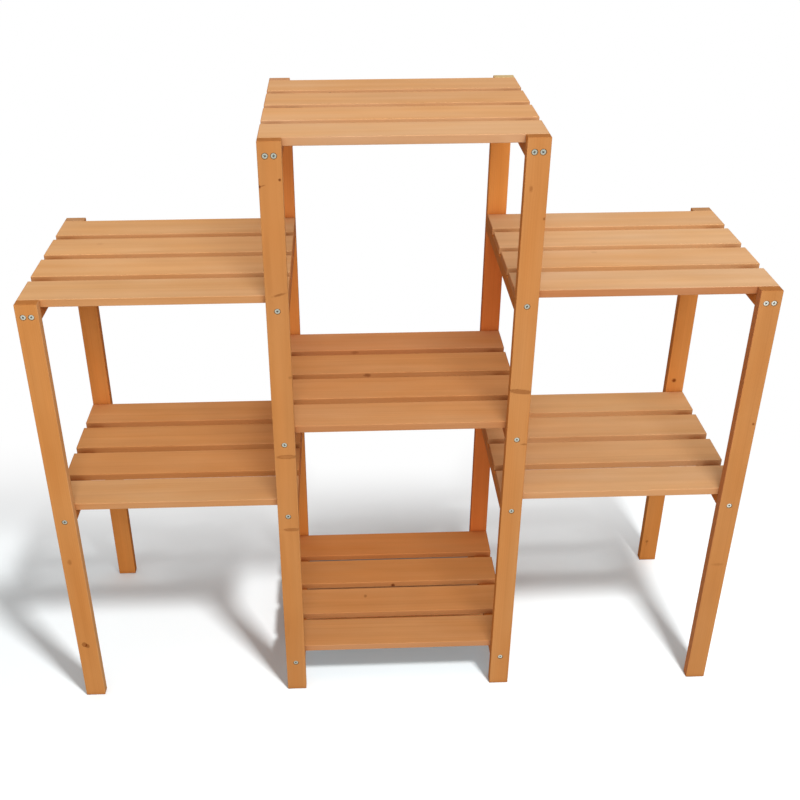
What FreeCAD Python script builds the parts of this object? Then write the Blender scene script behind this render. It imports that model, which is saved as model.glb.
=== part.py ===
import FreeCAD, Part
import os
import Sketcher
from FreeCAD import Placement, Rotation, Vector

# A slatted wooden plant stand with seven shelves: a tower of three between two wings of two.
# Millimetres. +X is the viewer's right, +Y the back, +Z up, with the origin on the floor under the middle.
# The shelves' slats lie on cleats, the cleats run from the front legs to the rear legs, and screws through
# the legs hold the cleats' ends. Tower and wing shelves take turns up the height, in five tiers.

SIZES = {
    # Across the front
    "tower_width": 336.0,           # over the outer faces of the tower's legs
    "wing_reach": 304.5,            # from the tower's outer face to the wing's outer face
    # Heights of the shelves' top faces, each measured from the tier below it
    "first_tier_height": 75.0,      # tower's bottom shelf, above the floor
    "second_tier_rise": 276.0,      # wings' lower shelves
    "third_tier_rise": 119.0,       # tower's middle shelf
    "fourth_tier_rise": 193.5,      # wings' upper shelves
    "fifth_tier_rise": 200.5,       # tower's top shelf
    # Timber sections
    "leg_width": 28.0,
    "leg_thickness": 13.0,
    "slat_width": 53.75,
    "slat_thickness": 10.5,
    "slat_gap": 13.0,               # between neighbouring slats
    "cleat_height": 16.0,
    "edge_radius": 1.0,             # easing on every edge of the timber
    # Screws from the legs into the cleats' ends
    "leg_screw_diameter": 3.5,
    "leg_screw_head": 6.4,
    "leg_screw_sink": 0.9,          # from the leg's face down to the flat of the head
    "leg_screw_pair_gap": 3.6,      # between the two heads at the top of a leg
    "leg_screw_recess_span": 3.4,
    "leg_screw_recess_width": 1.0,
    "leg_screw_recess_depth": 1.2,
    "leg_screw_point": 4.0,         # length of the pointed end
    "leg_screw_end_gap": 3.0,       # wood between its point and the nearest slat screw
    # Heights of those screws, from the middle of the cleats' ends
    "top_screw_rise": 0.7,          # the pairs at the tops of the legs
    "wing_screw_rise": 2.5,         # on the tower's legs, at the wings' upper shelves
    "lower_screw_drop": 2.5,        # at the three lower tiers
    # Screws from below, through the cleats into the slats
    "slat_screw_diameter": 3.0,
    "slat_screw_head": 6.0,
    "slat_screw_recess_span": 3.4,
    "slat_screw_recess_width": 0.9,
    "slat_screw_recess_depth": 1.1,
    "slat_screw_point": 2.5,
    "slat_screw_cover": 4.0,        # wood between its point and the slat's top face
    # Fits
    "screw_clearance": 0.1,         # between a screw and the wood all round
    "pilot_room": 0.5,              # hole depth past a screw's point
}
SLATS_PER_SHELF = 4
COUNTERSINK_ANGLE = 90
RECESS_TURN = 37                    # degrees between one screw's recess and the next one's

# Places worked out from the sheet, as expressions
INNER_DEPTH = f"({SLATS_PER_SHELF} * Sizes.slat_width + {SLATS_PER_SHELF - 1} * Sizes.slat_gap)"
LEG_Y = f"({INNER_DEPTH} / 2 + Sizes.leg_thickness / 2)"
LEG_FACE_Y = f"({INNER_DEPTH} / 2 + Sizes.leg_thickness)"
TOWER_X = "((Sizes.tower_width - Sizes.leg_width) / 2)"
WING_X = f"({TOWER_X} + Sizes.wing_reach)"
FIRST_TIER = "Sizes.first_tier_height"
SECOND_TIER = f"({FIRST_TIER} + Sizes.second_tier_rise)"
THIRD_TIER = f"({SECOND_TIER} + Sizes.third_tier_rise)"
FOURTH_TIER = f"({THIRD_TIER} + Sizes.fourth_tier_rise)"
FIFTH_TIER = f"({FOURTH_TIER} + Sizes.fifth_tier_rise)"
CLEAT_DROP = "(Sizes.slat_thickness + Sizes.cleat_height / 2)"
CLEAT_FOOT_DROP = "(Sizes.slat_thickness + Sizes.cleat_height)"
PAIR_OFFSET = "((Sizes.leg_screw_head + Sizes.leg_screw_pair_gap) / 2)"
CLEARANCE = "2 * Sizes.screw_clearance"
LEG_SCREW_BITE = "(Sizes.slat_width / 2 - Sizes.slat_screw_diameter / 2 - Sizes.leg_screw_end_gap)"
LEG_SCREW_LENGTH = f"(Sizes.leg_thickness - Sizes.leg_screw_sink + {LEG_SCREW_BITE})"
LEG_SCREW_Y = f"({LEG_FACE_Y} - Sizes.leg_screw_sink)"
SLAT_SCREW_BITE = "(Sizes.slat_thickness - Sizes.slat_screw_cover)"
SLAT_SCREW_LENGTH = f"(Sizes.cleat_height + {SLAT_SCREW_BITE})"

# Screws in the end of a cleat, across and up from its middle
TOP_SCREWS = [(f"-{PAIR_OFFSET}", "Sizes.top_screw_rise"), (PAIR_OFFSET, "Sizes.top_screw_rise")]
WING_SCREW = [("0", "Sizes.wing_screw_rise")]
LOWER_SCREW = [("0", "(-Sizes.lower_screw_drop)")]

# Each shelf: its name, its tier, and its left and right cleats as name, place in X and end screws
SHELVES = [
    ("tower_bottom", FIRST_TIER, ("left", f"-{TOWER_X}", LOWER_SCREW), ("right", TOWER_X, LOWER_SCREW)),
    ("tower_middle", THIRD_TIER, ("left", f"-{TOWER_X}", LOWER_SCREW), ("right", TOWER_X, LOWER_SCREW)),
    ("tower_top", FIFTH_TIER, ("left", f"-{TOWER_X}", TOP_SCREWS), ("right", TOWER_X, TOP_SCREWS)),
    ("left_lower", SECOND_TIER, ("outer", f"-{WING_X}", LOWER_SCREW), ("inner", f"-{TOWER_X}", LOWER_SCREW)),
    ("left_upper", FOURTH_TIER, ("outer", f"-{WING_X}", TOP_SCREWS), ("inner", f"-{TOWER_X}", WING_SCREW)),
    ("right_lower", SECOND_TIER, ("inner", TOWER_X, LOWER_SCREW), ("outer", WING_X, LOWER_SCREW)),
    ("right_upper", FOURTH_TIER, ("inner", TOWER_X, WING_SCREW), ("outer", WING_X, TOP_SCREWS)),
]

# Each pair of a front and a rear leg: its name, its place in X, its height, and its tiers' screws
TOWER_TIERS = [(FIRST_TIER, LOWER_SCREW), (SECOND_TIER, LOWER_SCREW), (THIRD_TIER, LOWER_SCREW),
               (FOURTH_TIER, WING_SCREW), (FIFTH_TIER, TOP_SCREWS)]
WING_TIERS = [(SECOND_TIER, LOWER_SCREW), (FOURTH_TIER, TOP_SCREWS)]
LEG_PAIRS = [
    ("tower_left_leg", f"-{TOWER_X}", FIFTH_TIER, TOWER_TIERS),
    ("tower_right_leg", TOWER_X, FIFTH_TIER, TOWER_TIERS),
    ("wing_left_leg", f"-{WING_X}", FOURTH_TIER, WING_TIERS),
    ("wing_right_leg", WING_X, FOURTH_TIER, WING_TIERS),
]

doc = FreeCAD.newDocument("plant_stand")
sheet = doc.addObject("Spreadsheet::Sheet", "Sizes")
for row, (alias, value) in enumerate(SIZES.items(), start=1):
    sheet.set(f"A{row}", alias)
    sheet.set(f"B{row}", str(value))
    sheet.setAlias(f"B{row}", alias)
doc.recompute()

pieces = []


def number(expression):
    """The value that an expression of the sheet has now, in millimetres."""
    return float(sheet.evalExpression(expression))


def place(piece, x, y, z):
    """Bind a piece's position to expressions of the sheet."""
    piece.setExpression("Placement.Base.x", x)
    piece.setExpression("Placement.Base.y", y)
    piece.setExpression("Placement.Base.z", z)


def new_body(label):
    body = doc.addObject("PartDesign::Body", label)
    body.Label = label
    return body


def new_sketch(body, role, offset=None):
    """A sketch on one of the body's origin planes, moved along the plane's normal by an expression."""
    sketch = body.newObject("Sketcher::SketchObject", "Sketch")
    plane = next(feature for feature in body.Origin.OriginFeatures if feature.Role == role)
    sketch.AttachmentSupport = [(plane, "")]
    sketch.MapMode = "FlatFace"
    if offset:
        sketch.setExpression("AttachmentOffset.Base.z", offset)
    return sketch


def bind(sketch, constraint, expression):
    """Add a dimension to a sketch and tie it to an expression of the sheet."""
    index = sketch.addConstraint(constraint)
    sketch.setExpression(f"Constraints[{index}]", expression)


def outline(sketch, points):
    """Closed outline of straight lines through (x, y) expressions, with every corner fixed by them."""
    corners = [Vector(number(x), number(y), 0) for x, y in points]
    ring = list(range(len(corners)))
    for index in ring:
        sketch.addGeometry(Part.LineSegment(corners[index], corners[(index + 1) % len(ring)]))
    for index in ring:
        sketch.addConstraint(Sketcher.Constraint("Coincident", index, 2, (index + 1) % len(ring), 1))
    for index, (x, y) in enumerate(points):
        bind(sketch, Sketcher.Constraint("DistanceX", -1, 1, index, 1, corners[index].x), x)
        bind(sketch, Sketcher.Constraint("DistanceY", -1, 1, index, 1, corners[index].y), y)


def bar(label, role, across, up, length, middle=True):
    """A timber of rectangular section with eased edges, along the normal of an origin plane."""
    body = new_body(label)
    section = new_sketch(body, role)
    outline(section, [(f"-{across} / 2", f"-{up} / 2"), (f"{across} / 2", f"-{up} / 2"),
                      (f"{across} / 2", f"{up} / 2"), (f"-{across} / 2", f"{up} / 2")])
    pad = body.newObject("PartDesign::Pad", "Pad")
    pad.Profile = section
    pad.SideType = "Symmetric" if middle else "One side"
    pad.setExpression("Length", length)
    easing = body.newObject("PartDesign::Fillet", "Easing")
    easing.Base = (pad, [""])
    easing.UseAllEdges = True
    easing.setExpression("Radius", "Sizes.edge_radius")
    pieces.append(body)
    return body


def drill(body, role, offset, spots, diameter, depth=None, head=None, towards_normal=False):
    """Round holes at (x, y) expressions on a plane: right through unless a depth is given, and
    countersunk where a head's diameter is given."""
    marks = new_sketch(body, role, offset)
    for index, (x, y) in enumerate(spots):
        centre = Vector(number(x), number(y), 0)
        marks.addGeometry(Part.Circle(centre, Vector(0, 0, 1), number(diameter) / 2))
        bind(marks, Sketcher.Constraint("DistanceX", -1, 1, index, 3, centre.x), x)
        bind(marks, Sketcher.Constraint("DistanceY", -1, 1, index, 3, centre.y), y)
        bind(marks, Sketcher.Constraint("Diameter", index, number(diameter)), diameter)
    doc.recompute()
    whole = body.Shape.Volume
    hole = body.newObject("PartDesign::Hole", "Hole")
    hole.Profile = marks
    hole.Reversed = towards_normal
    hole.DrillPoint = "Flat"
    hole.setExpression("Diameter", diameter)
    hole.DepthType = "Dimension" if depth else "ThroughAll"
    if depth:
        hole.setExpression("Depth", depth)
    if head:
        hole.HoleCutType = "Countersink"
        hole.HoleCutCustomValues = True
        hole.HoleCutCountersinkAngle = COUNTERSINK_ANGLE
        hole.setExpression("HoleCutDiameter", head)
    doc.recompute()
    if body.Shape.Volume >= whole:
        raise RuntimeError(f"{body.Label}: a hole cut nothing")


def leg(label, x, y, turn, height, tiers):
    """An upright board on its foot, with its outer face to -Y before it is turned."""
    body = bar(label, "XY_Plane", "Sizes.leg_width", "Sizes.leg_thickness", height, middle=False)
    spots = [(across, f"{tier} - {CLEAT_DROP} + {up}") for tier, screws in tiers for across, up in screws]
    drill(body, "XZ_Plane", "Sizes.leg_thickness / 2", spots, f"Sizes.leg_screw_diameter + {CLEARANCE}",
          head=f"Sizes.leg_screw_head + 2 * Sizes.leg_screw_sink + {CLEARANCE}")
    body.Placement = Placement(Vector(), Rotation(Vector(0, 0, 1), turn))
    place(body, x, y, "0")


def slat_y(number_from_front):
    """Middle of a slat, counted from 0 at the front."""
    first = f"(Sizes.slat_width - {INNER_DEPTH}) / 2"
    return f"({first} + {number_from_front} * (Sizes.slat_width + Sizes.slat_gap))"


def slat(label, left, right, y, tier):
    """A board from the outer side of the left cleat to the outer side of the right one."""
    span = f"({right} - {left})"
    body = bar(label, "YZ_Plane", "Sizes.slat_width", "Sizes.slat_thickness", f"{span} + Sizes.leg_width")
    spots = [(f"-{span} / 2", "0"), (f"{span} / 2", "0")]
    drill(body, "XY_Plane", "-Sizes.slat_thickness / 2", spots, f"Sizes.slat_screw_diameter + {CLEARANCE}",
          depth=f"{SLAT_SCREW_BITE} + Sizes.pilot_room", towards_normal=True)
    place(body, f"({left} + {right}) / 2", y, f"{tier} - Sizes.slat_thickness / 2")


def cleat(label, x, tier, end_screws):
    """A bearer as wide as the legs, drilled at both ends for the leg screws and from below for the slats."""
    body = bar(label, "XZ_Plane", "Sizes.leg_width", "Sizes.cleat_height", INNER_DEPTH)
    for towards_normal, end in ((False, f"{INNER_DEPTH} / 2"), (True, f"-{INNER_DEPTH} / 2")):
        drill(body, "XZ_Plane", end, end_screws, f"Sizes.leg_screw_diameter + {CLEARANCE}",
              depth=f"{LEG_SCREW_BITE} + Sizes.pilot_room", towards_normal=towards_normal)
    drill(body, "XY_Plane", "-Sizes.cleat_height / 2", [("0", slat_y(n)) for n in range(SLATS_PER_SHELF)],
          f"Sizes.slat_screw_diameter + {CLEARANCE}", head=f"Sizes.slat_screw_head + {CLEARANCE}",
          towards_normal=True)
    place(body, x, "0", f"{tier} - {CLEAT_DROP}")


def screw(kind, length):
    """A countersunk screw on the Z axis, its head's flat face at the origin and its point below."""
    body = new_body(kind)
    shank = f"Sizes.{kind}_diameter / 2"
    head = f"Sizes.{kind}_head / 2"
    profile = new_sketch(body, "XZ_Plane")
    outline(profile, [("0", "0"), (head, "0"), (shank, f"{shank} - {head}"),
                      (shank, f"Sizes.{kind}_point - {length}"), ("0", f"-{length}")])
    turned = body.newObject("PartDesign::Revolution", "Turned")
    turned.Profile = profile
    turned.ReferenceAxis = (profile, ["V_Axis"])
    turned.Angle = 360
    long = f"Sizes.{kind}_recess_span / 2"
    short = f"Sizes.{kind}_recess_width / 2"
    cross = new_sketch(body, "XY_Plane")
    outline(cross, [(short, short), (short, long), (f"-{short}", long), (f"-{short}", short),
                    (f"-{long}", short), (f"-{long}", f"-{short}"), (f"-{short}", f"-{short}"),
                    (f"-{short}", f"-{long}"), (short, f"-{long}"), (short, f"-{short}"),
                    (long, f"-{short}"), (long, short)])
    recess = body.newObject("PartDesign::Pocket", "Recess")
    recess.Profile = cross
    recess.setExpression("Length", f"Sizes.{kind}_recess_depth")
    doc.recompute()
    if recess.Shape.Volume >= turned.Shape.Volume:
        raise RuntimeError(f"{kind}: the recess cut nothing")
    return body


def screw_group(label, master, tilt, spots):
    """Copies of one screw at (x, y, z) expressions, tilted about X from head up, as one node."""
    copies = []
    for index, spot in enumerate(spots):
        copy = doc.addObject("App::Link", f"{label}_copy")
        copy.LinkedObject = master
        turn = Rotation(Vector(0, 0, 1), index * RECESS_TURN)
        copy.Placement = Placement(Vector(), Rotation(Vector(1, 0, 0), tilt) * turn)
        place(copy, *spot)
        copies.append(copy)
    group = doc.addObject("Part::Compound", label)
    group.Label = label
    group.Links = copies
    pieces.append(group)


# Legs, in pairs of front and rear
for label, x, height, tiers in LEG_PAIRS:
    leg(f"{label}_front", x, f"-{LEG_Y}", 0, height, tiers)
    leg(f"{label}_rear", x, LEG_Y, 180, height, tiers)

# Shelves: two cleats and their slats
for shelf, tier, left_cleat, right_cleat in SHELVES:
    for side, x, end_screws in (left_cleat, right_cleat):
        cleat(f"{shelf}_cleat_{side}", x, tier, end_screws)
    for count in range(SLATS_PER_SHELF):
        slat(f"{shelf}_slat_{count + 1}", left_cleat[1], right_cleat[1], slat_y(count), tier)

# Screws
leg_screw = screw("leg_screw", LEG_SCREW_LENGTH)
leg_spots = [(f"{x} + {across}", f"{tier} - {CLEAT_DROP} + {up}")
             for _, x, _, tiers in LEG_PAIRS for tier, screws in tiers for across, up in screws]
screw_group("front_leg_screws", leg_screw, 90, [(x, f"-{LEG_SCREW_Y}", z) for x, z in leg_spots])
screw_group("rear_leg_screws", leg_screw, -90, [(x, LEG_SCREW_Y, z) for x, z in leg_spots])
slat_screw = screw("slat_screw", SLAT_SCREW_LENGTH)
screw_group("slat_screws", slat_screw, 180,
            [(x, slat_y(count), f"{tier} - {CLEAT_FOOT_DROP}")
             for _, tier, *cleats in SHELVES for _, x, _ in cleats for count in range(SLATS_PER_SHELF)])

# Nothing is written unless the whole document is sound
doc.recompute()
failed = [item.Label for item in doc.Objects if {"Invalid", "Error"} & set(item.State)]
failed += [piece.Label for piece in pieces if piece.Shape.isNull() or not piece.Shape.isValid()]
if failed:
    raise RuntimeError(f"failed: {failed}")
os.makedirs("parts", exist_ok=True)
for piece in pieces:
    piece.Shape.exportStep(f"parts/{piece.Label}.step")
print(f"{len(pieces)} pieces, {sum(len(piece.Shape.Solids) for piece in pieces)} solids")
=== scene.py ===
import math
import random
from collections import namedtuple

import bpy
from mathutils import Matrix, Vector


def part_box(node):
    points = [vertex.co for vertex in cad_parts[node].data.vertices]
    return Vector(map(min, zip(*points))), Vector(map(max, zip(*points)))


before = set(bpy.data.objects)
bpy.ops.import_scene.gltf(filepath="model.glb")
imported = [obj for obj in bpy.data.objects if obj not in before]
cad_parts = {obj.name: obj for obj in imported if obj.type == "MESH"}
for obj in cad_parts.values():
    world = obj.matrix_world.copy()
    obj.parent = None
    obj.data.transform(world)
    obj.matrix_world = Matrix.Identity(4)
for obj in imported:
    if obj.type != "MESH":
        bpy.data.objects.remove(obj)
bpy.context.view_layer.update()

# Camera, fitted to the stand's corners in the 800 x 800 picture
CAMERA_PLACE = (-0.0750, -1.2439, 1.2174)
CAMERA_TILT = math.radians(27.852)
CAMERA_HEADING = math.radians(-1.890)
CAMERA_ROLL = math.radians(-0.229)
CAMERA_LENS = 45.48
CAMERA_SENSOR = 36.0
CAMERA_SHIFT = (0.0357, -0.1002)

# Light: a large softbox and a weak fill on the stand, and a small lamp on the floor, which draws the
# stand's shadow there. The softbox and the small lamp stand to the front right, above. A white surround is
# brightest overhead. A level is the brightness that the lamp alone gives to a white face at the aim, turned
# to it.
LAMP_AIM = (0.0, 0.0, 0.50)
SOFTBOX_PLACE = (0.30, -2.05, 2.45)
SOFTBOX_SIDE = 1.5
SOFTBOX_LEVEL = 0.66
FILL_PLACE = (-0.10, -3.20, 0.80)
FILL_SIDE = 1.6
FILL_LEVEL = 0.18
SHADOW_PLACE = (0.64, -1.20, 2.38)
SHADOW_SIDE = 0.28
SHADOW_LEVEL = 1.30
SURROUND_SIDES = 0.13
SURROUND_ABOVE = 0.73
WHITE = (1.0, 1.0, 1.0, 1.0)

# Floor: white where it is looked at, and grey for the light that it throws back. The shadow fades to plain
# white towards the back, from further back but sooner behind the tower, and away from the stand all round.
# In front of the tower's bottom shelf a painted cool glow lifts the shadow a bit. Under that shelf the
# floor is painted with warm light bounced off the wood, with painted shade that turns greyer towards the
# back. Pairs are where a change starts and is full.
FLOOR_SIDE = 40.0
FLOOR_DROP = 0.0002
FLOOR_WHITE = (0.86, 0.905, 0.92, 1.0)
FLOOR_GREY = (0.45, 0.45, 0.45, 1.0)
BACK_FADE_END = 0.55
ROUND_FADE = (0.60, 1.10)
UNDER_TOWER = (0.12, 0.20)
TOWER_FADE = (0.16, 0.44)
FRONT_START = (-0.15, -0.11)
FRONT_END = (-0.05, -0.03)
FRONT_LIFT = 0.20
FRONT_GLOW = (0.70, 0.96, 1.08, 1.0)
SHELF_FRONT = (-0.03, 0.00)
SHELF_BACK = (0.140, 0.175)
SHELF_SIDES = (0.148, 0.154)
SHELF_DEPTH = (0.015, 0.135)
UNDER_SHELF_BOUNCE = (1.45, 0.80, 0.34, 1.0)
UNDER_SHELF_SHADE = (0.38, 0.29, 0.22, 1.0)

# Stained softwood, linear colours by the words in a piece's name; the first line that fits counts. The
# colours also hold painted light and shade: the lower shelves darker where shade falls, the rear legs
# lighter where they stand in shadow, and the tower's right rear leg darker and redder in the shade below
# the shelves
WOOD_AND_SHADING_TONES = [
    (("tower_right_leg_rear",), (0.680, 0.192, 0.044, 1.0)),
    (("wing_right_leg_rear",), (0.738, 0.281, 0.069, 1.0)),
    (("leg_rear",), (0.706, 0.262, 0.063, 1.0)),
    (("wing_left_leg_front",), (0.603, 0.249, 0.070, 1.0)),
    (("leg",), (0.562, 0.238, 0.073, 1.0)),
    (("cleat",), (0.621, 0.218, 0.046, 1.0)),
    (("tower_top",), (0.733, 0.388, 0.174, 1.0)),
    (("left_upper",), (0.744, 0.395, 0.171, 1.0)),
    (("right_upper_slat_3",), (0.800, 0.468, 0.235, 1.0)),
    (("right_upper",), (0.768, 0.430, 0.206, 1.0)),
    (("right_lower_slat_2",), (0.690, 0.377, 0.170, 1.0)),
    (("right_lower_slat_4",), (0.770, 0.422, 0.186, 1.0)),
    (("right_lower",), (0.729, 0.399, 0.180, 1.0)),
    (("tower_middle_slat_4",), (0.617, 0.266, 0.102, 1.0)),
    (("tower_middle",), (0.665, 0.306, 0.113, 1.0)),
    (("left_lower_slat_1",), (0.702, 0.357, 0.144, 1.0)),
    (("left_lower_slat_4",), (0.702, 0.315, 0.112, 1.0)),
    (("left_lower",), (0.679, 0.311, 0.111, 1.0)),
    (("tower_bottom_slat_3",), (0.606, 0.252, 0.080, 1.0)),
    (("tower_bottom_slat_4",), (0.606, 0.229, 0.068, 1.0)),
    (("tower_bottom",), (0.635, 0.279, 0.095, 1.0)),
]
# Painted light and shade on a board's narrow edges, as factors on those colours, found in the same way:
# lighter where an edge faces the lamps, darker where it is in shade
EDGE_LIGHT_AND_SHADE = [
    (("wing_left_leg_front",), (1.20, 1.44, 1.95, 1.0)),
    (("tower_left_leg_front",), (1.22, 1.32, 1.40, 1.0)),
    (("tower_right_leg_front",), (1.07, 0.90, 0.70, 1.0)),
    (("wing_right_leg_front",), (1.00, 0.86, 0.95, 1.0)),
    (("tower_top_slat_1",), (0.79, 0.75, 0.76, 1.0)),
    (("tower_top",), (0.90, 0.92, 0.99, 1.0)),
    (("right_upper_slat_1",), (0.68, 0.48, 0.38, 1.0)),
    (("right_upper",), (0.87, 0.81, 0.74, 1.0)),
    (("left_upper_slat_1",), (0.83, 0.71, 0.60, 1.0)),
    (("lower_slat_1",), (0.84, 0.75, 0.71, 1.0)),
    (("right_lower",), (0.87, 0.79, 0.74, 1.0)),
    (("tower_middle_slat_1",), (0.77, 0.69, 0.68, 1.0)),
    (("tower_bottom_slat_1",), (0.87, 0.87, 1.02, 1.0)),
    (("tower_bottom_slat_2",), (0.95, 0.92, 0.97, 1.0)),
    (("tower_bottom",), (1.10, 1.13, 1.23, 1.0)),
    (("leg", "slat", "cleat"), (0.82, 0.75, 0.70, 1.0)),
]
# Other factors on the boards' colours, and the grey brown of the rear legs' cut ends
# Painted light: the front slat of each shelf is paler, where more light falls
FRONT_SLAT_LIGHT = (0.98, 1.03, 1.10)
LATE_WOOD = (0.80, 0.68, 0.58, 1.0)
# Edges lighter by wear and by a painted highlight
WORN_EDGE_HIGHLIGHT = (1.14, 1.22, 1.42, 1.0)
END_GRAIN = (0.80, 0.72, 0.66, 1.0)
SLAT_END = (0.76, 0.54, 0.40, 1.0)
REAR_LEG_END = (0.540, 0.275, 0.125, 1.0)
# Painted shade where boards stand close together, within the reach
GAP_SHADE = (0.62, 0.44, 0.30, 1.0)
GAP_REACH = 0.016
# Painted shade and a grey stain on the walls of the screw holes
HOLE_WALL_SHADE_AND_STAIN = (0.40, 0.48, 0.60, 1.0)
KNOT_WOOD = (0.34, 0.20, 0.13, 1.0)
# Painted light: legs that are paler higher up, above the shade of the shelves: heights where that starts
# and is full, and the factor on their colour there
LIT_TOP = {
    "tower_right_leg_rear": ((0.60, 0.70), (1.23, 1.71, 1.78, 1.0)),
    "tower_left_leg_rear": ((0.60, 0.68), (1.20, 1.20, 1.38, 1.0)),
}
# A board's own place in the tree: how far its grain is moved, how far off the heart is, how far the heart
# leans along the board, and how much lighter or darker the board is
OFFSET_REACH = 20.0
PITH_DEPTH = (0.045, 0.110)
PITH_LEAN = 0.02
TONE_REACH = 0.02
# Growth rings: their width, how far they wander, how uneven the years are, how late the wood is through a
# year, and the share of late wood that a year has at least and on top of that
RING_WIDTH = 0.0026
WANDER_REACH = 0.0060
UNEVEN_REACH = 2.6
SEASON_STOPS = [(0.0, 0.0), (0.40, 0.10), (0.80, 0.70), (0.94, 1.0), (1.0, 0.0)]
LATE_LEAST = 0.06
LATE_MORE = 0.26
# Fineness of the grain's patterns per metre along, across and through the board
WANDER_STRETCH = (3.0, 22.0, 22.0)
UNEVEN_STRETCH = (0.31, 1.0, 1.0)
FIBRE_STRETCH = (16.0, 1300.0, 1300.0)
FIBRE_DETAIL = 3.0
FIBRE_RAGGED = 0.6
STREAK_STRETCH = (2.4, 75.0, 75.0)
FLECK_STRETCH = (70.0, 2300.0, 2300.0)
FLECK_SPAN = (0.70, 0.80)
BLOTCH_STRETCH = (9.0, 26.0, 26.0)
HUE_STRETCH = (7.0, 34.0, 34.0)
# How much each pattern shades the wood, and how the shade and the hue act on red, green and blue
FIBRE_SHADE = 0.10
STREAK_SHADE = 0.26
BLOTCH_SHADE = 0.20
FLECK_SHADE = 0.07
RED_POWER = 0.75
BLUE_POWER = 1.35
GREEN_HUE = 0.16
BLUE_HUE = 0.45
# Distances from a board's faces and edges between which an effect fades, and the share of the edges that is
# lightened by wear and a painted highlight
EDGE_FACE_SPAN = (0.0001, 0.0006)
EDGE_HIGHLIGHT_SPAN = (0.0002, 0.0016)
WEAR_HIGHLIGHT_FROM = (0.35, 0.65)
WEAR_HIGHLIGHT_SHARE = (0.05, 0.28)
END_SPAN = (0.0001, 0.0014)
HOLE_OFF_EDGE = (0.0011, 0.0016)
HOLE_DEPTH = (0.00004, 0.00025)
GAP_SAMPLES = 6
GAP_SPAN = (0.15, 0.80)
# Roughness and relief of the surface, and what the patterns add to them
WOOD_ROUGHNESS = 0.72
FIBRE_ROUGHNESS = 0.24
LATE_ROUGHNESS = -0.06
END_ROUGHNESS = 0.25
FIBRE_HEIGHT = 0.7
LATE_HEIGHT = 0.5
FLECK_HEIGHT = 0.4
WOOD_RELIEF = 0.35
WOOD_RELIEF_DEPTH = 0.00012
WOOD_GLOSS = 0.02
# Mean of a noise
NOISE_MIDDLE = 0.5

# Zinc plate of the screws: the film's dull and bright colour, a factor on the screws from a height on, the
# colour from a place to the right on, and the painted shade down in the cross recess
ZINC_DULL = (0.38, 0.39, 0.33, 1.0)
ZINC_BRIGHT = (0.62, 0.63, 0.55, 1.0)
ZINC_HIGH = (0.72, 0.73, 0.72, 1.0)
HIGH_FROM = (0.70, 0.80)
# Whiter colour of the screws on the right wing's outer legs, from a place to the right on
ZINC_RIGHT_WING = (0.72, 0.72, 0.64, 1.0)
RECESS_SHADE = (0.06, 0.065, 0.065, 1.0)
RIGHT_WING_FROM_X = 0.40
MOTTLE_STRETCH = (900.0, 900.0, 900.0)
MOTTLE_DETAIL = 3.0
MOTTLE_SHARE = 0.4
FILM_STRETCH = (7.0, 7.0, 7.0)
FILM_SPAN = (0.35, 0.65)
FILM_SHARE = 0.6
RECESS_SAMPLES = 8
RECESS_REACH = 0.002
RECESS_SPAN = (0.45, 0.95)
ZINC_ROUGHNESS = 0.45
MOTTLE_ROUGHNESS = 0.20
ZINC_RELIEF = 0.15
ZINC_RELIEF_DEPTH = 0.00005

# A knot's middle in the stand's frame, along and across the board, half its length along the grain and half
# its width across it, how far it climbs along the board per length across, how dark it is, how far its
# darkness is only an outline, and the face that it shows on
Knot = namedtuple("Knot", "along across half_length half_width climb dark outline face")

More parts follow.
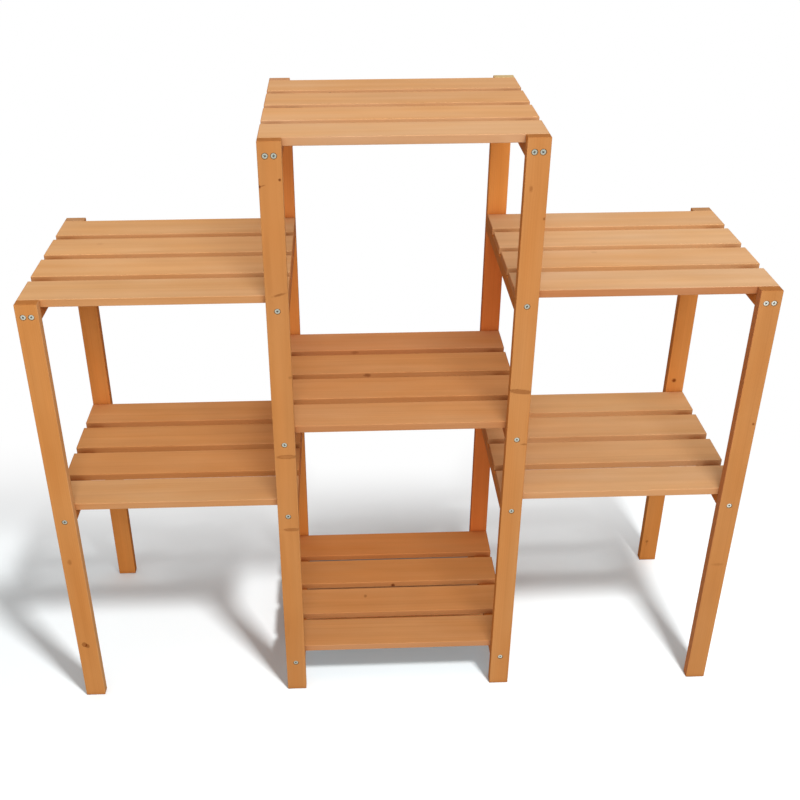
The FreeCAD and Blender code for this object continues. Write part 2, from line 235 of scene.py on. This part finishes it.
KNOTS = {
    "tower_left_leg_front": [
        Knot(0.8177, -0.1433, 0.0021, 0.0020, 0.00, 0.95, 0.0, "wide"),
        Knot(0.8094, -0.1670, 0.0020, 0.0019, 0.00, 1.00, 0.0, "wide"),
        Knot(0.8106, -0.1637, 0.0010, 0.0042, 0.30, 0.50, 0.0, "wide"),
        Knot(0.6703, -0.1508, 0.0020, 0.0095, 0.26, 0.55, 0.0, "wide"),
        Knot(0.5529, -0.1420, 0.0025, 0.0030, 0.00, 0.36, 0.0, "wide"),
        Knot(0.4304, -0.1515, 0.0031, 0.0132, 0.00, 0.60, 0.7, "wide"),
        Knot(0.3078, -0.1498, 0.0028, 0.0110, 0.00, 0.62, 0.5, "wide"),
    ],
    "tower_right_leg_front": [
        Knot(0.8019, 0.1480, 0.0045, 0.0026, 0.00, 0.38, 0.0, "wide"),
        Knot(0.7642, 0.1663, 0.0023, 0.0022, 0.00, 0.55, 0.0, "wide"),
        Knot(0.5245, 0.1542, 0.0035, 0.0150, -0.12, 0.75, 0.5, "wide"),
        Knot(0.4419, 0.1643, 0.0019, 0.0058, 0.00, 0.48, 0.0, "wide"),
    ],
    "wing_right_leg_front": [
        Knot(0.4660, 0.4684, 0.0024, 0.0021, 0.00, 0.75, 0.0, "wide"),
        Knot(0.2247, 0.4583, 0.0030, 0.0100, 0.00, 0.22, 0.0, "wide"),
    ],
    "wing_left_leg_front": [
        Knot(0.2599, -0.4617, 0.0055, 0.0036, 0.00, 0.36, 0.0, "wide"),
        Knot(0.1034, -0.4622, 0.0044, 0.0036, 0.00, 0.85, 0.5, "wide"),
        Knot(0.1005, -0.4582, 0.0040, 0.0032, 0.00, 0.80, 0.3, "wide"),
    ],
    "wing_right_leg_rear": [
        Knot(0.3721, 0.4557, 0.0042, 0.0041, 0.00, 0.95, 0.0, "wide"),
        Knot(0.0418, 0.4530, 0.0034, 0.0027, 0.00, 0.60, 0.0, "wide"),
        Knot(0.0360, 0.4530, 0.0060, 0.0014, 0.00, 0.22, 0.0, "wide"),
    ],
    "tower_top_slat_3": [Knot(-0.1311, 0.8585, 0.0150, 0.0040, 0.00, 0.35, 0.0, "edge")],
    "tower_top_slat_4": [Knot(-0.0848, 0.8600, 0.0016, 0.0016, 0.00, 0.60, 0.0, "edge")],
    "left_upper_slat_3": [Knot(-0.4044, 0.0416, 0.0050, 0.0045, 0.00, 0.10, 0.0, "wide")],
    "right_upper_slat_2": [Knot(0.2644, -0.0149, 0.0050, 0.0035, 0.00, 0.14, 0.0, "wide")],
    "tower_middle_slat_3": [Knot(-0.0400, 0.4662, 0.0064, 0.0034, 0.00, 0.62, 0.0, "edge")],
    "tower_middle_slat_4": [Knot(-0.0564, 0.4662, 0.0064, 0.0030, 0.00, 0.36, 0.0, "edge")],
    "tower_bottom_slat_2": [Knot(-0.0462, -0.0248, 0.0030, 0.0040, 0.00, 0.50, 0.0, "wide")],
    "tower_bottom_slat_3": [Knot(-0.0003, 0.0670, 0.0038, 0.0042, 0.00, 1.00, 0.0, "edge")],
}
# How far into the board a knot on the front edge of a slat still shows
EDGE_KNOT_DEPTH = 0.0030
# A knot's shape, as shares of its half length and width: how ragged it is, where its dark heart fades, the
# middle and width of its outline, the darkness left inside an outline, and how it pushes the grain aside
KNOT_RAGGED_STRETCH = (420.0, 420.0, 420.0)
KNOT_RAGGED = 0.7
KNOT_HEART = (0.35, 1.20)
KNOT_RIM = 0.82
KNOT_RIM_WIDTH = 0.24
KNOT_HOLLOW = 0.35
KNOT_PUSH = -0.6
KNOT_PUSH_FADE = -0.22


class Tree:
    """A node tree with short ways to add nodes and join them."""

    def __init__(self, tree):
        self.tree = tree

    def add(self, kind, **settings):
        node = self.tree.nodes.new("ShaderNode" + kind)
        for name, value in settings.items():
            setattr(node, name, value)
        return node

    def feed(self, socket, value):
        if isinstance(value, bpy.types.NodeSocket):
            self.tree.links.new(value, socket)
        else:
            socket.default_value = value

    def math(self, operation, *values, clamp=False):
        node = self.add("Math", operation=operation, use_clamp=clamp)
        for socket, value in zip(node.inputs, values):
            self.feed(socket, value)
        return node.outputs[0]

    def vector(self, operation, *values):
        node = self.add("VectorMath", operation=operation)
        for socket, value in zip(node.inputs, values):
            self.feed(socket, value)
        return node.outputs[0]

    def split(self, vector):
        node = self.add("SeparateXYZ")
        self.feed(node.inputs[0], vector)
        return node.outputs

    def join(self, x, y, z):
        node = self.add("CombineXYZ")
        for socket, value in zip(node.inputs, (x, y, z)):
            self.feed(socket, value)
        return node.outputs[0]

    def noise(self, place, stretch, detail=2.0, roughness=0.5):
        node = self.add("TexNoise", noise_dimensions="3D")
        self.feed(node.inputs["Vector"], self.vector("MULTIPLY", place, stretch))
        node.inputs["Scale"].default_value = 1.0
        node.inputs["Detail"].default_value = detail
        node.inputs["Roughness"].default_value = roughness
        return node.outputs["Fac"]

    def span(self, value, low, high, start=0.0, end=1.0):
        """A smooth step: start where value is low, end where it is high."""
        node = self.add("MapRange", interpolation_type="SMOOTHSTEP")
        settings = {"Value": value, "From Min": low, "From Max": high, "To Min": start, "To Max": end}
        for name, setting in settings.items():
            self.feed(node.inputs[name], setting)
        return node.outputs[0]

    def mix(self, share, first, second, blend="MIX"):
        node = self.add("Mix", data_type="RGBA", blend_type=blend)
        self.feed(node.inputs[0], share)
        self.feed(node.inputs[6], first)
        self.feed(node.inputs[7], second)
        return node.outputs[2]

    def tint(self, share, colour, factor):
        """The colour, multiplied by the factor as far as share says."""
        return self.mix(share, colour, self.mix(1.0, colour, factor, blend="MULTIPLY"))

    def swing(self, noise, reach):
        """A noise turned into a swing to both sides of nought."""
        return self.math("MULTIPLY", self.math("SUBTRACT", noise, NOISE_MIDDLE), reach)

    def shelter(self, samples, distance):
        """How open the surface is within a distance, nought in a deep corner."""
        node = self.add("AmbientOcclusion", samples=samples)
        node.inputs["Distance"].default_value = distance
        return node.outputs["AO"]

    def relief(self, height, strength, depth):
        """A surface direction tilted by a height."""
        node = self.add("Bump")
        node.inputs["Strength"].default_value = strength
        node.inputs["Distance"].default_value = depth
        self.feed(node.inputs["Height"], height)
        return node.outputs["Normal"]

    def blend(self, share, first, second):
        """One shader faded into another."""
        node = self.add("MixShader")
        for socket, value in zip(node.inputs, (share, first, second)):
            self.feed(socket, value)
        return node.outputs[0]

    def ramp(self, value, stops):
        node = self.add("ValToRGB")
        self.feed(node.inputs[0], value)
        marks = node.color_ramp.elements
        while len(marks) < len(stops):
            marks.new(1.0)
        for mark, (position, level) in zip(marks, stops):
            mark.position = position
            mark.color = (level, level, level, 1.0)
        return node.outputs[0]


def new_material(name):
    """An empty material and its node tree."""
    material = bpy.data.materials.new(name)
    material.use_nodes = True
    material.node_tree.nodes.clear()
    return material, Tree(material.node_tree)


def new_group(name, inputs, outputs):
    """A node group with its sockets, as (group, tree helper, inputs by name, outputs by name)."""
    group = bpy.data.node_groups.new(name, "ShaderNodeTree")
    for label, kind in inputs:
        group.interface.new_socket(label, in_out="INPUT", socket_type="NodeSocket" + kind)
    for label, kind in outputs:
        group.interface.new_socket(label, in_out="OUTPUT", socket_type="NodeSocket" + kind)
    tree = Tree(group)
    entry = group.nodes.new("NodeGroupInput").outputs
    leave = group.nodes.new("NodeGroupOutput").inputs
    return group, tree, entry, leave


def make_knot_group():
    """One knot: how far it pushes the grain aside, and how dark it is."""
    group, tree, entry, leave = new_group(
        "knot",
        [("Place", "Vector"), ("Along", "Float"), ("Across", "Float"), ("Half Length", "Float"),
         ("Half Width", "Float"), ("Climb", "Float"), ("Outline", "Float")],
        [("Push", "Float"), ("Dark", "Float")],
    )
    along, across, depth = tree.split(entry["Place"])
    reach_across = tree.math("SUBTRACT", across, entry["Across"])
    climb = tree.math("MULTIPLY_ADD", reach_across, entry["Climb"], entry["Along"])
    reach_along = tree.math("SUBTRACT", along, climb)
    share_along = tree.math("DIVIDE", reach_along, entry["Half Length"])
    share_across = tree.math("DIVIDE", reach_across, entry["Half Width"])
    square_across = tree.math("POWER", share_across, 2.0)
    square = tree.math("MULTIPLY_ADD", share_along, share_along, square_across)
    ragged = tree.math("SUBTRACT", tree.noise(entry["Place"], KNOT_RAGGED_STRETCH), NOISE_MIDDLE)
    distance = tree.math("MULTIPLY_ADD", ragged, KNOT_RAGGED, tree.math("SQRT", square))
    heart = tree.span(distance, *KNOT_HEART, 1.0, 0.0)
    off_rim = tree.math("DIVIDE", tree.math("SUBTRACT", distance, KNOT_RIM), KNOT_RIM_WIDTH)
    rim = tree.math("EXPONENT", tree.math("MULTIPLY", tree.math("MULTIPLY", off_rim, off_rim), -1.0))
    hollow = tree.math("MAXIMUM", rim, tree.math("MULTIPLY", heart, KNOT_HOLLOW))
    outlined = tree.math("MULTIPLY", tree.math("SUBTRACT", hollow, heart), entry["Outline"])
    shown = tree.span(depth, 0.0, EDGE_KNOT_DEPTH, 1.0, 0.0)
    tree.feed(leave["Dark"], tree.math("MULTIPLY", tree.math("ADD", heart, outlined), shown))
    fade = tree.math("EXPONENT", tree.math("MULTIPLY", square, KNOT_PUSH_FADE))
    pushed = tree.math("MULTIPLY", tree.math("MULTIPLY", reach_across, fade), KNOT_PUSH)
    tree.feed(leave["Push"], pushed)
    return group


def make_timber_group():
    """Solid stained softwood: growth rings, fibres, streaks and end grain; edges lightened by wear and a
    painted highlight, painted light and shade on the narrow edges, and painted shade in gaps and screw
    holes.
    """
    group, tree, entry, leave = new_group(
        "timber",
        [("Place", "Vector"), ("Half", "Vector"), ("Offset", "Vector"), ("Pith", "Vector"),
         ("Wood", "Color"), ("Edge", "Color"), ("End", "Color"), ("Tone", "Float"), ("Push", "Float")],
        [("Colour", "Color"), ("Roughness", "Float"), ("Height", "Float")],
    )
    sample = tree.vector("ADD", entry["Place"], entry["Offset"])
    along, across, through = tree.split(entry["Place"])
    pith_across, pith_through, lean = tree.split(entry["Pith"])

    # Growth rings round the tree's heart, which lies outside the board
    wander = tree.swing(tree.noise(sample, WANDER_STRETCH), WANDER_REACH)
    leaned = tree.math("MULTIPLY_ADD", along, lean, pith_across)
    ring_across = tree.math("ADD", tree.math("SUBTRACT", across, leaned), entry["Push"])
    ring_through = tree.math("SUBTRACT", through, pith_through)
    square_across = tree.math("MULTIPLY", ring_across, ring_across)
    square_through = tree.math("MULTIPLY", ring_through, ring_through)
    radius = tree.math("SQRT", tree.math("ADD", square_across, square_through))
    count = tree.math("DIVIDE", tree.math("ADD", radius, wander), RING_WIDTH)
    uneven = tree.math("MULTIPLY", tree.noise(tree.join(count, 0.0, 0.0), UNEVEN_STRETCH), UNEVEN_REACH)
    age = tree.math("ADD", count, uneven)
    season = tree.math("FRACT", age)
    late = tree.ramp(season, SEASON_STOPS)
    year = tree.add("TexWhiteNoise", noise_dimensions="1D")
    tree.feed(year.inputs["W"], tree.math("FLOOR", age))

    # Fibres, broad streaks, resin flecks and the stain's uneven uptake
    fibre = tree.noise(sample, FIBRE_STRETCH, detail=FIBRE_DETAIL, roughness=FIBRE_RAGGED)
    streak = tree.noise(sample, STREAK_STRETCH)
    fleck = tree.span(tree.noise(sample, FLECK_STRETCH, detail=1.0), *FLECK_SPAN)
    blotch = tree.noise(sample, BLOTCH_STRETCH)

    late_most = tree.math("MULTIPLY_ADD", year.outputs["Value"], LATE_MORE, LATE_LEAST)
    colour = tree.tint(tree.math("MULTIPLY", late, late_most), entry["Wood"], LATE_WOOD)
    shade = entry["Tone"]
    for pattern, reach in ((fibre, FIBRE_SHADE), (streak, STREAK_SHADE), (blotch, BLOTCH_SHADE)):
        shade = tree.math("ADD", shade, tree.swing(pattern, reach))
    shade = tree.math("SUBTRACT", shade, tree.math("MULTIPLY", fleck, FLECK_SHADE))
    level = tree.math("ADD", shade, 1.0)
    hue = tree.math("SUBTRACT", tree.noise(sample, HUE_STRETCH, detail=1.0), NOISE_MIDDLE)
    red = tree.math("POWER", level, RED_POWER)
    green = tree.math("MULTIPLY", level, tree.math("MULTIPLY_ADD", hue, GREEN_HUE, 1.0))
    blue_level = tree.math("POWER", level, BLUE_POWER)
    blue = tree.math("MULTIPLY", blue_level, tree.math("MULTIPLY_ADD", hue, BLUE_HUE, 1.0))
    colour = tree.mix(1.0, colour, tree.join(red, green, blue), blend="MULTIPLY")

    # Distance to the nearest edge of the board: the middle one of the three gaps to its faces
    gap_along, gap_across, gap_through = tree.split(
        tree.vector("SUBTRACT", entry["Half"], tree.vector("ABSOLUTE", entry["Place"]))
    )
    low = tree.math("MINIMUM", gap_across, gap_through)
    high = tree.math("MAXIMUM", gap_across, gap_through)
    edge_gap = tree.math("MAXIMUM", low, tree.math("MINIMUM", high, gap_along))
    # Painted light and shade on the narrow faces
    narrow_face_shading = tree.span(gap_across, *EDGE_FACE_SPAN, 1.0, 0.0)
    colour = tree.tint(narrow_face_shading, colour, entry["Edge"])
    # Edges lightened by wear and by a painted highlight
    edge_highlight_reach = tree.span(edge_gap, *EDGE_HIGHLIGHT_SPAN, 1.0, 0.0)
    wear_and_highlight = tree.math("MULTIPLY", edge_highlight_reach, tree.span(blotch, *WEAR_HIGHLIGHT_FROM, *WEAR_HIGHLIGHT_SHARE))
    colour = tree.tint(wear_and_highlight, colour, WORN_EDGE_HIGHLIGHT)
    end = tree.span(gap_along, *END_SPAN, 1.0, 0.0)
    colour = tree.tint(end, colour, entry["End"])

    # Painted shade where boards stand close together, darker the more closed in a spot is
    gap_shade_share = tree.span(tree.shelter(GAP_SAMPLES, GAP_REACH), *GAP_SPAN, 1.0, 0.0)
    colour = tree.tint(gap_shade_share, colour, GAP_SHADE)

    # Walls of the screw holes, below a wide face and away from the board's edges: painted shade in the
    # recess and a grey stain
    off_edge = tree.span(tree.math("MINIMUM", gap_across, gap_along), *HOLE_OFF_EDGE)
    hole_wall_shading = tree.math("MULTIPLY", off_edge, tree.span(gap_through, *HOLE_DEPTH))
    colour = tree.tint(hole_wall_shading, colour, HOLE_WALL_SHADE_AND_STAIN)
    tree.feed(leave["Colour"], colour)

    fibre_swing = tree.math("SUBTRACT", fibre, NOISE_MIDDLE)
    rough = tree.math("MULTIPLY_ADD", fibre_swing, FIBRE_ROUGHNESS, WOOD_ROUGHNESS)
    rough = tree.math("ADD", rough, tree.math("MULTIPLY", late, LATE_ROUGHNESS))
    rough = tree.math("ADD", rough, tree.math("MULTIPLY", end, END_ROUGHNESS), clamp=True)
    tree.feed(leave["Roughness"], rough)
    grain = tree.math("MULTIPLY_ADD", fibre, FIBRE_HEIGHT, tree.math("MULTIPLY", late, LATE_HEIGHT))
    grain = tree.math("SUBTRACT", grain, tree.math("MULTIPLY", fleck, FLECK_HEIGHT))
    tree.feed(leave["Height"], grain)
    return group


KNOT_GROUP = make_knot_group()
TIMBER_GROUP = make_timber_group()

# Order of the stand's axes as along, across and through each kind of board
BOARD_AXES = {"leg": (2, 0, 1), "slat": (0, 1, 2), "cleat": (1, 0, 2)}


def board_kind(node):
    return next(kind for kind in BOARD_AXES if f"_{kind}" in node)


def find_tone(tones, node):
    return next(tone for words, tone in tones if any(word in node for word in words))


def wood_and_shading_tone(node):
    tone = find_tone(WOOD_AND_SHADING_TONES, node)
    # The front slat gets painted light, paler where more light falls
    if node.endswith("_slat_1"):
        return [level * factor for level, factor in zip(tone, FRONT_SLAT_LIGHT)] + [1.0]
    return tone


def end_factor(node):
    if node.endswith("_leg_rear"):
        return [level / wood for level, wood in zip(REAR_LEG_END, wood_and_shading_tone(node))]
    return SLAT_END if board_kind(node) == "slat" else END_GRAIN


def add_knots(tree, board_place, node, kind, middle, half):
    """The board's knots, as the push on the grain and how dark they are together."""
    push = 0.0
    dark = 0.0
    along_axis, wide_axis, thin_axis = BOARD_AXES[kind]
    along, across, through = tree.split(board_place)
    for knot in KNOTS.get(node, []):
        cross_axis = wide_axis
        place = tree.join(along, across, 0.0)
        if knot.face == "edge":
            cross_axis = thin_axis
            place = tree.join(along, through, tree.math("ADD", across, half[wide_axis]))
        group = tree.add("Group", node_tree=KNOT_GROUP)
        tree.feed(group.inputs["Place"], place)
        group.inputs["Along"].default_value = knot.along - middle[along_axis]
        group.inputs["Across"].default_value = knot.across - middle[cross_axis]
        group.inputs["Half Length"].default_value = knot.half_length
        group.inputs["Half Width"].default_value = knot.half_width
        group.inputs["Climb"].default_value = knot.climb
        group.inputs["Outline"].default_value = knot.outline
        push = tree.math("ADD", group.outputs["Push"], push)
        dark = tree.math("MULTIPLY_ADD", group.outputs["Dark"], knot.dark, dark)
    return push, dark


def make_timber(node):
    """The material of one board, with the grain along it and its own place in the tree."""
    kind = board_kind(node)
    axes = BOARD_AXES[kind]
    low, high = (Vector(corner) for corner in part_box(node))
    middle = (low + high) / 2
    half = (high - low) / 2
    draw = random.Random(node)

    material, tree = new_material(node + "_timber")
    place = tree.vector("SUBTRACT", tree.add("TexCoord").outputs["Object"], tuple(middle))
    spread = tree.split(place)
    board_place = tree.join(*(spread[axis] for axis in axes))
    push, dark = add_knots(tree, board_place, node, kind, middle, half)

    timber = tree.add("Group", node_tree=TIMBER_GROUP)
    tree.feed(timber.inputs["Place"], board_place)
    timber.inputs["Half"].default_value = [half[axis] for axis in axes]
    timber.inputs["Offset"].default_value = [
        draw.uniform(-OFFSET_REACH, OFFSET_REACH) for _ in range(3)
    ]
    turn = draw.uniform(0, 2 * math.pi)
    depth = draw.uniform(*PITH_DEPTH)
    lean = draw.uniform(-PITH_LEAN, PITH_LEAN)
    timber.inputs["Pith"].default_value = (depth * math.cos(turn), depth * math.sin(turn), lean)
    timber.inputs["Wood"].default_value = wood_and_shading_tone(node)
    timber.inputs["Edge"].default_value = find_tone(EDGE_LIGHT_AND_SHADE, node)
    timber.inputs["End"].default_value = end_factor(node)
    timber.inputs["Tone"].default_value = draw.uniform(-TONE_REACH, TONE_REACH)
    tree.feed(timber.inputs["Push"], push)

    surface = tree.add("BsdfPrincipled")
    colour = timber.outputs["Colour"]
    # Painted light: paler above the shade of the shelves
    if node in LIT_TOP:
        heights, factor = LIT_TOP[node]
        rise = tree.span(spread[2], *(height - middle.z for height in heights))
        colour = tree.tint(rise, colour, factor)
    if node in KNOTS:
        colour = tree.tint(tree.math("MINIMUM", dark, 1.0), colour, KNOT_WOOD)
    tree.feed(surface.inputs["Base Color"], colour)
    tree.feed(surface.inputs["Roughness"], timber.outputs["Roughness"])
    tilted = tree.relief(timber.outputs["Height"], WOOD_RELIEF, WOOD_RELIEF_DEPTH)
    tree.feed(surface.inputs["Normal"], tilted)
    surface.inputs["Specular IOR Level"].default_value = WOOD_GLOSS
    tree.feed(tree.add("OutputMaterial").inputs["Surface"], surface.outputs[0])
    return material


def make_zinc():
    """Zinc plate with a film, on each screw a bit brighter or duller, greyer on the highest ones and
    whiter on the right wing's outer legs; painted shade down in the cross recess."""
    material, tree = new_material("zinc_plate")
    place = tree.add("TexCoord").outputs["Object"]
    mottle = tree.noise(place, MOTTLE_STRETCH, detail=MOTTLE_DETAIL)
    film = tree.span(tree.noise(place, FILM_STRETCH, detail=1.0), *FILM_SPAN)
    mottle_part = tree.math("MULTIPLY", mottle, MOTTLE_SHARE)
    shade = tree.math("ADD", mottle_part, tree.math("MULTIPLY", film, FILM_SHARE))
    colour = tree.mix(shade, ZINC_DULL, ZINC_BRIGHT)
    x, _, z = tree.split(place)
    colour = tree.tint(tree.span(z, *HIGH_FROM), colour, ZINC_HIGH)
    colour = tree.mix(tree.math("GREATER_THAN", x, RIGHT_WING_FROM_X), colour, ZINC_RIGHT_WING)
    # Painted shade down in the cross recess
    open_face = tree.span(tree.shelter(RECESS_SAMPLES, RECESS_REACH), *RECESS_SPAN)
    colour = tree.mix(open_face, RECESS_SHADE, colour)
    surface = tree.add("BsdfPrincipled")
    tree.feed(surface.inputs["Base Color"], colour)
    surface.inputs["Metallic"].default_value = 1.0
    rough = tree.math("MULTIPLY_ADD", mottle, MOTTLE_ROUGHNESS, ZINC_ROUGHNESS)
    tree.feed(surface.inputs["Roughness"], rough)
    tree.feed(surface.inputs["Normal"], tree.relief(mottle, ZINC_RELIEF, ZINC_RELIEF_DEPTH))
    tree.feed(tree.add("OutputMaterial").inputs["Surface"], surface.outputs[0])
    return material


def dress_nodes():
    zinc = make_zinc()
    for node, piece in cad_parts.items():
        material = zinc if node.endswith("_screws") else make_timber(node)
        for slot in piece.material_slots:
            slot.material = material


def seen_directly(tree):
    """One where the background is looked at, also in a reflection or through glass."""
    path = tree.add("LightPath").outputs
    seen = tree.math("ADD", path["Is Camera Ray"], path["Is Glossy Ray"], clamp=True)
    return tree.math("ADD", seen, path["Is Transmission Ray"], clamp=True)


def make_floor():
    mesh = bpy.data.meshes.new("floor")
    half = FLOOR_SIDE / 2
    turns = ((-half, -half), (half, -half), (half, half), (-half, half))
    mesh.from_pydata([(x, y, -FLOOR_DROP) for x, y in turns], [], [(0, 1, 2, 3)])
    floor = bpy.data.objects.new("floor", mesh)
    bpy.context.scene.collection.objects.link(floor)
    material, tree = new_material("white_floor")
    white = tree.add("BsdfDiffuse")
    plain = tree.add("Emission")
    x, y, _ = tree.split(tree.add("TexCoord").outputs["Object"])
    reach = tree.math("SQRT", tree.math("MULTIPLY_ADD", x, x, tree.math("MULTIPLY", y, y)))
    off_middle = tree.math("ABSOLUTE", x)
    tower = tree.span(off_middle, *UNDER_TOWER, 1.0, 0.0)
    fade_start, fade_end = TOWER_FADE
    start = tree.math("MULTIPLY", tower, fade_start)
    end = tree.math("MULTIPLY_ADD", tower, fade_end - BACK_FADE_END, BACK_FADE_END)
    back = tree.span(y, start, end)
    fade = tree.math("MAXIMUM", back, tree.span(reach, *ROUND_FADE))
    # Painted warm bounce light and painted shade on the floor under the bottom shelf
    shelf = tree.math("MULTIPLY", tree.span(y, *SHELF_FRONT), tree.span(y, *SHELF_BACK, 1.0, 0.0))
    shelf = tree.math("MULTIPLY", shelf, tree.span(off_middle, *SHELF_SIDES, 1.0, 0.0))
    shade = tree.mix(tree.span(y, *SHELF_DEPTH), UNDER_SHELF_BOUNCE, UNDER_SHELF_SHADE)
    tint = tree.mix(shelf, FLOOR_WHITE, shade)
    tree.feed(white.inputs["Color"], tint)
    # Painted light: a cool glow that lifts the shadow in front of the bottom shelf
    front = tree.math("MULTIPLY", tree.span(y, *FRONT_START), tree.span(y, *FRONT_END, 1.0, 0.0))
    front = tree.math("MULTIPLY", front, tower)
    tree.feed(plain.inputs["Color"], tree.mix(front, WHITE, FRONT_GLOW))
    fade = tree.math("MAXIMUM", fade, tree.math("MULTIPLY", front, FRONT_LIFT))
    seen = tree.blend(fade, white.outputs[0], plain.outputs[0])
    grey = tree.add("BsdfDiffuse")
    grey.inputs["Color"].default_value = FLOOR_GREY
    choice = tree.blend(seen_directly(tree), grey.outputs[0], seen)
    tree.feed(tree.add("OutputMaterial").inputs["Surface"], choice)
    mesh.materials.append(material)
    return floor


def add_lamp(name, place, side, level, lit):
    """A square lamp turned to the aim, shining on the lit objects only."""
    throw = Vector(place) - Vector(LAMP_AIM)
    data = bpy.data.lights.new(name, "AREA")
    data.size = side
    data.energy = level * math.pi ** 2 * throw.length_squared
    lamp = bpy.data.objects.new(name, data)
    lamp.location = place
    lamp.rotation_mode = "QUATERNION"
    lamp.rotation_quaternion = throw.to_track_quat("Z", "Y")
    bpy.context.scene.collection.objects.link(lamp)
    receivers = bpy.data.collections.new(name + "_receivers")
    for piece in lit:
        receivers.objects.link(piece)
    lamp.light_linking.receiver_collection = receivers


def make_light(floor):
    add_lamp("softbox", SOFTBOX_PLACE, SOFTBOX_SIDE, SOFTBOX_LEVEL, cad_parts.values())
    add_lamp("fill", FILL_PLACE, FILL_SIDE, FILL_LEVEL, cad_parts.values())
    add_lamp("shadow_lamp", SHADOW_PLACE, SHADOW_SIDE, SHADOW_LEVEL, [floor])

    world = bpy.data.worlds.new("surround")
    world.use_nodes = True
    world.node_tree.nodes.clear()
    tree = Tree(world.node_tree)
    sky = tree.add("Background")
    sky.inputs["Color"].default_value = WHITE
    rise = tree.math("MAXIMUM", tree.split(tree.add("TexCoord").outputs["Generated"])[2], 0.0)
    lighting = tree.math("MULTIPLY_ADD", rise, SURROUND_ABOVE - SURROUND_SIDES, SURROUND_SIDES)
    tree.feed(sky.inputs["Strength"], tree.math("MAXIMUM", lighting, seen_directly(tree)))
    tree.feed(tree.add("OutputWorld").inputs["Surface"], sky.outputs[0])
    bpy.context.scene.world = world


def make_camera():
    data = bpy.data.cameras.new("camera")
    data.lens = CAMERA_LENS
    data.sensor_width = CAMERA_SENSOR
    data.shift_x, data.shift_y = CAMERA_SHIFT
    camera = bpy.data.objects.new("camera", data)
    bpy.context.scene.collection.objects.link(camera)
    turn = Matrix.Rotation(CAMERA_HEADING, 4, "Z")
    tip = Matrix.Rotation(math.pi / 2 - CAMERA_TILT, 4, "X")
    roll = Matrix.Rotation(CAMERA_ROLL, 4, "Z")
    camera.matrix_world = Matrix.Translation(CAMERA_PLACE) @ turn @ tip @ roll
    bpy.context.scene.camera = camera


dress_nodes()
make_light(make_floor())
make_camera()
bpy.context.scene.view_settings.view_transform = "Standard"
